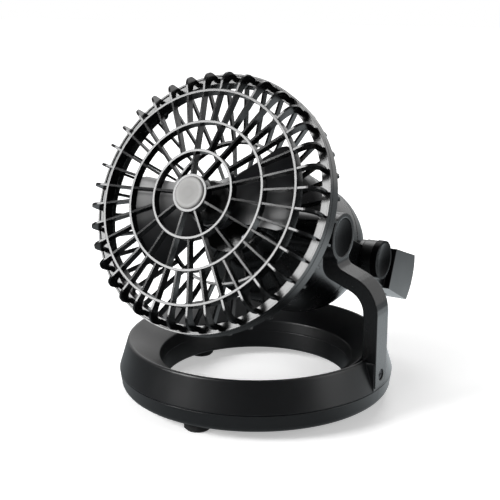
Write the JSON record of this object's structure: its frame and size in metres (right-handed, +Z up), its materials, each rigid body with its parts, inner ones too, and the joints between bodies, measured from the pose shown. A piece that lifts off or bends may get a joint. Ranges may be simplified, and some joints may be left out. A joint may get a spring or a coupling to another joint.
{
  "type": "portable camping fan",
  "caption": "Portable battery fan: round caged head tilting on a side arm from an open ring base, with a swing-back carry handle.",
  "frame": {"origin": "on the floor under the middle of the fan's footprint", "axes": "+Z up, -Y the way the fan blows, +X the side of the arm"},
  "size_m": [0.1683, 0.2059, 0.1969],
  "materials": {
    "black_plastic": "satin black moulded plastic",
    "gloss_plastic": "gloss black plastic",
    "smoke_plastic": "dark smoke plastic",
    "badge": "matt silver-grey",
    "rubber": "matt rubber",
    "steel": "plated steel",
    "brass": "turned brass",
    "copper": "enamelled copper windings",
    "cell": "plain plated can",
    "magnet": "sintered ferrite"
  },
  "bodies": {
    "stand": {"base_upper_shell": "black_plastic", "base_lower_shell": "black_plastic", "rubber_feet": "rubber", "base_screws": "steel", "support_arm": "black_plastic", "arm_screw": "steel", "pivot_cap": "black_plastic"},
    "head": {"pivot_bolt": "steel", "pivot_nut": "steel", "spring_washer": "steel", "friction_washer": "brass", "front_grille": "gloss_plastic", "centre_badge": "badge", "rear_grille": "gloss_plastic", "grille_screws": "steel", "motor_can": "steel", "motor_magnets": "magnet", "motor_bushes": "brass", "motor_end_bell": "smoke_plastic", "motor_screws": "steel", "rear_housing": "black_plastic", "housing_screws": "steel", "battery_cells": "cell", "contact_springs": "steel", "switch_body": "smoke_plastic", "hinge_pins": "steel"},
    "rotor": {"fan_rotor": "smoke_plastic", "spinner_cap": "gloss_plastic", "motor_shaft": "steel", "motor_armature": "copper"},
    "door": {"battery_door": "black_plastic", "door_contacts": "brass", "door_gasket": "rubber"},
    "switch": {"switch_knob": "black_plastic"},
    "handle": {"carry_handle": "black_plastic", "handle_pad": "rubber", "hinge_caps": "black_plastic"}
  },
  "joints": [
    {"name": "head_tilt", "type": "hinge", "parent": "stand", "child": "head", "pos_m": [0, -0.01103, 0.1035], "axis": [-1, 0, 0], "range_deg": [-80, 10]},
    {"name": "rotor_spin", "type": "hinge", "parent": "head", "child": "rotor", "pos_m": [0, -0.05649, 0.12431], "axis": [0, -0.9092, 0.4163], "continuous": true},
    {"name": "handle_swing", "type": "hinge", "parent": "head", "child": "handle", "pos_m": [0, 0.04807, 0.07644], "axis": [1, 0, 0], "range_deg": [-20, 90]},
    {"name": "door_twist", "type": "hinge", "parent": "head", "child": "door", "pos_m": [0, 0.04353, 0.07852], "axis": [0, -0.9092, 0.4163], "range_deg": [0, 25]},
    {"name": "switch_slide", "type": "slide", "parent": "head", "child": "switch", "axis": [0, -0.9092, 0.4163], "range_m": [0, 0.008]}
  ]
}
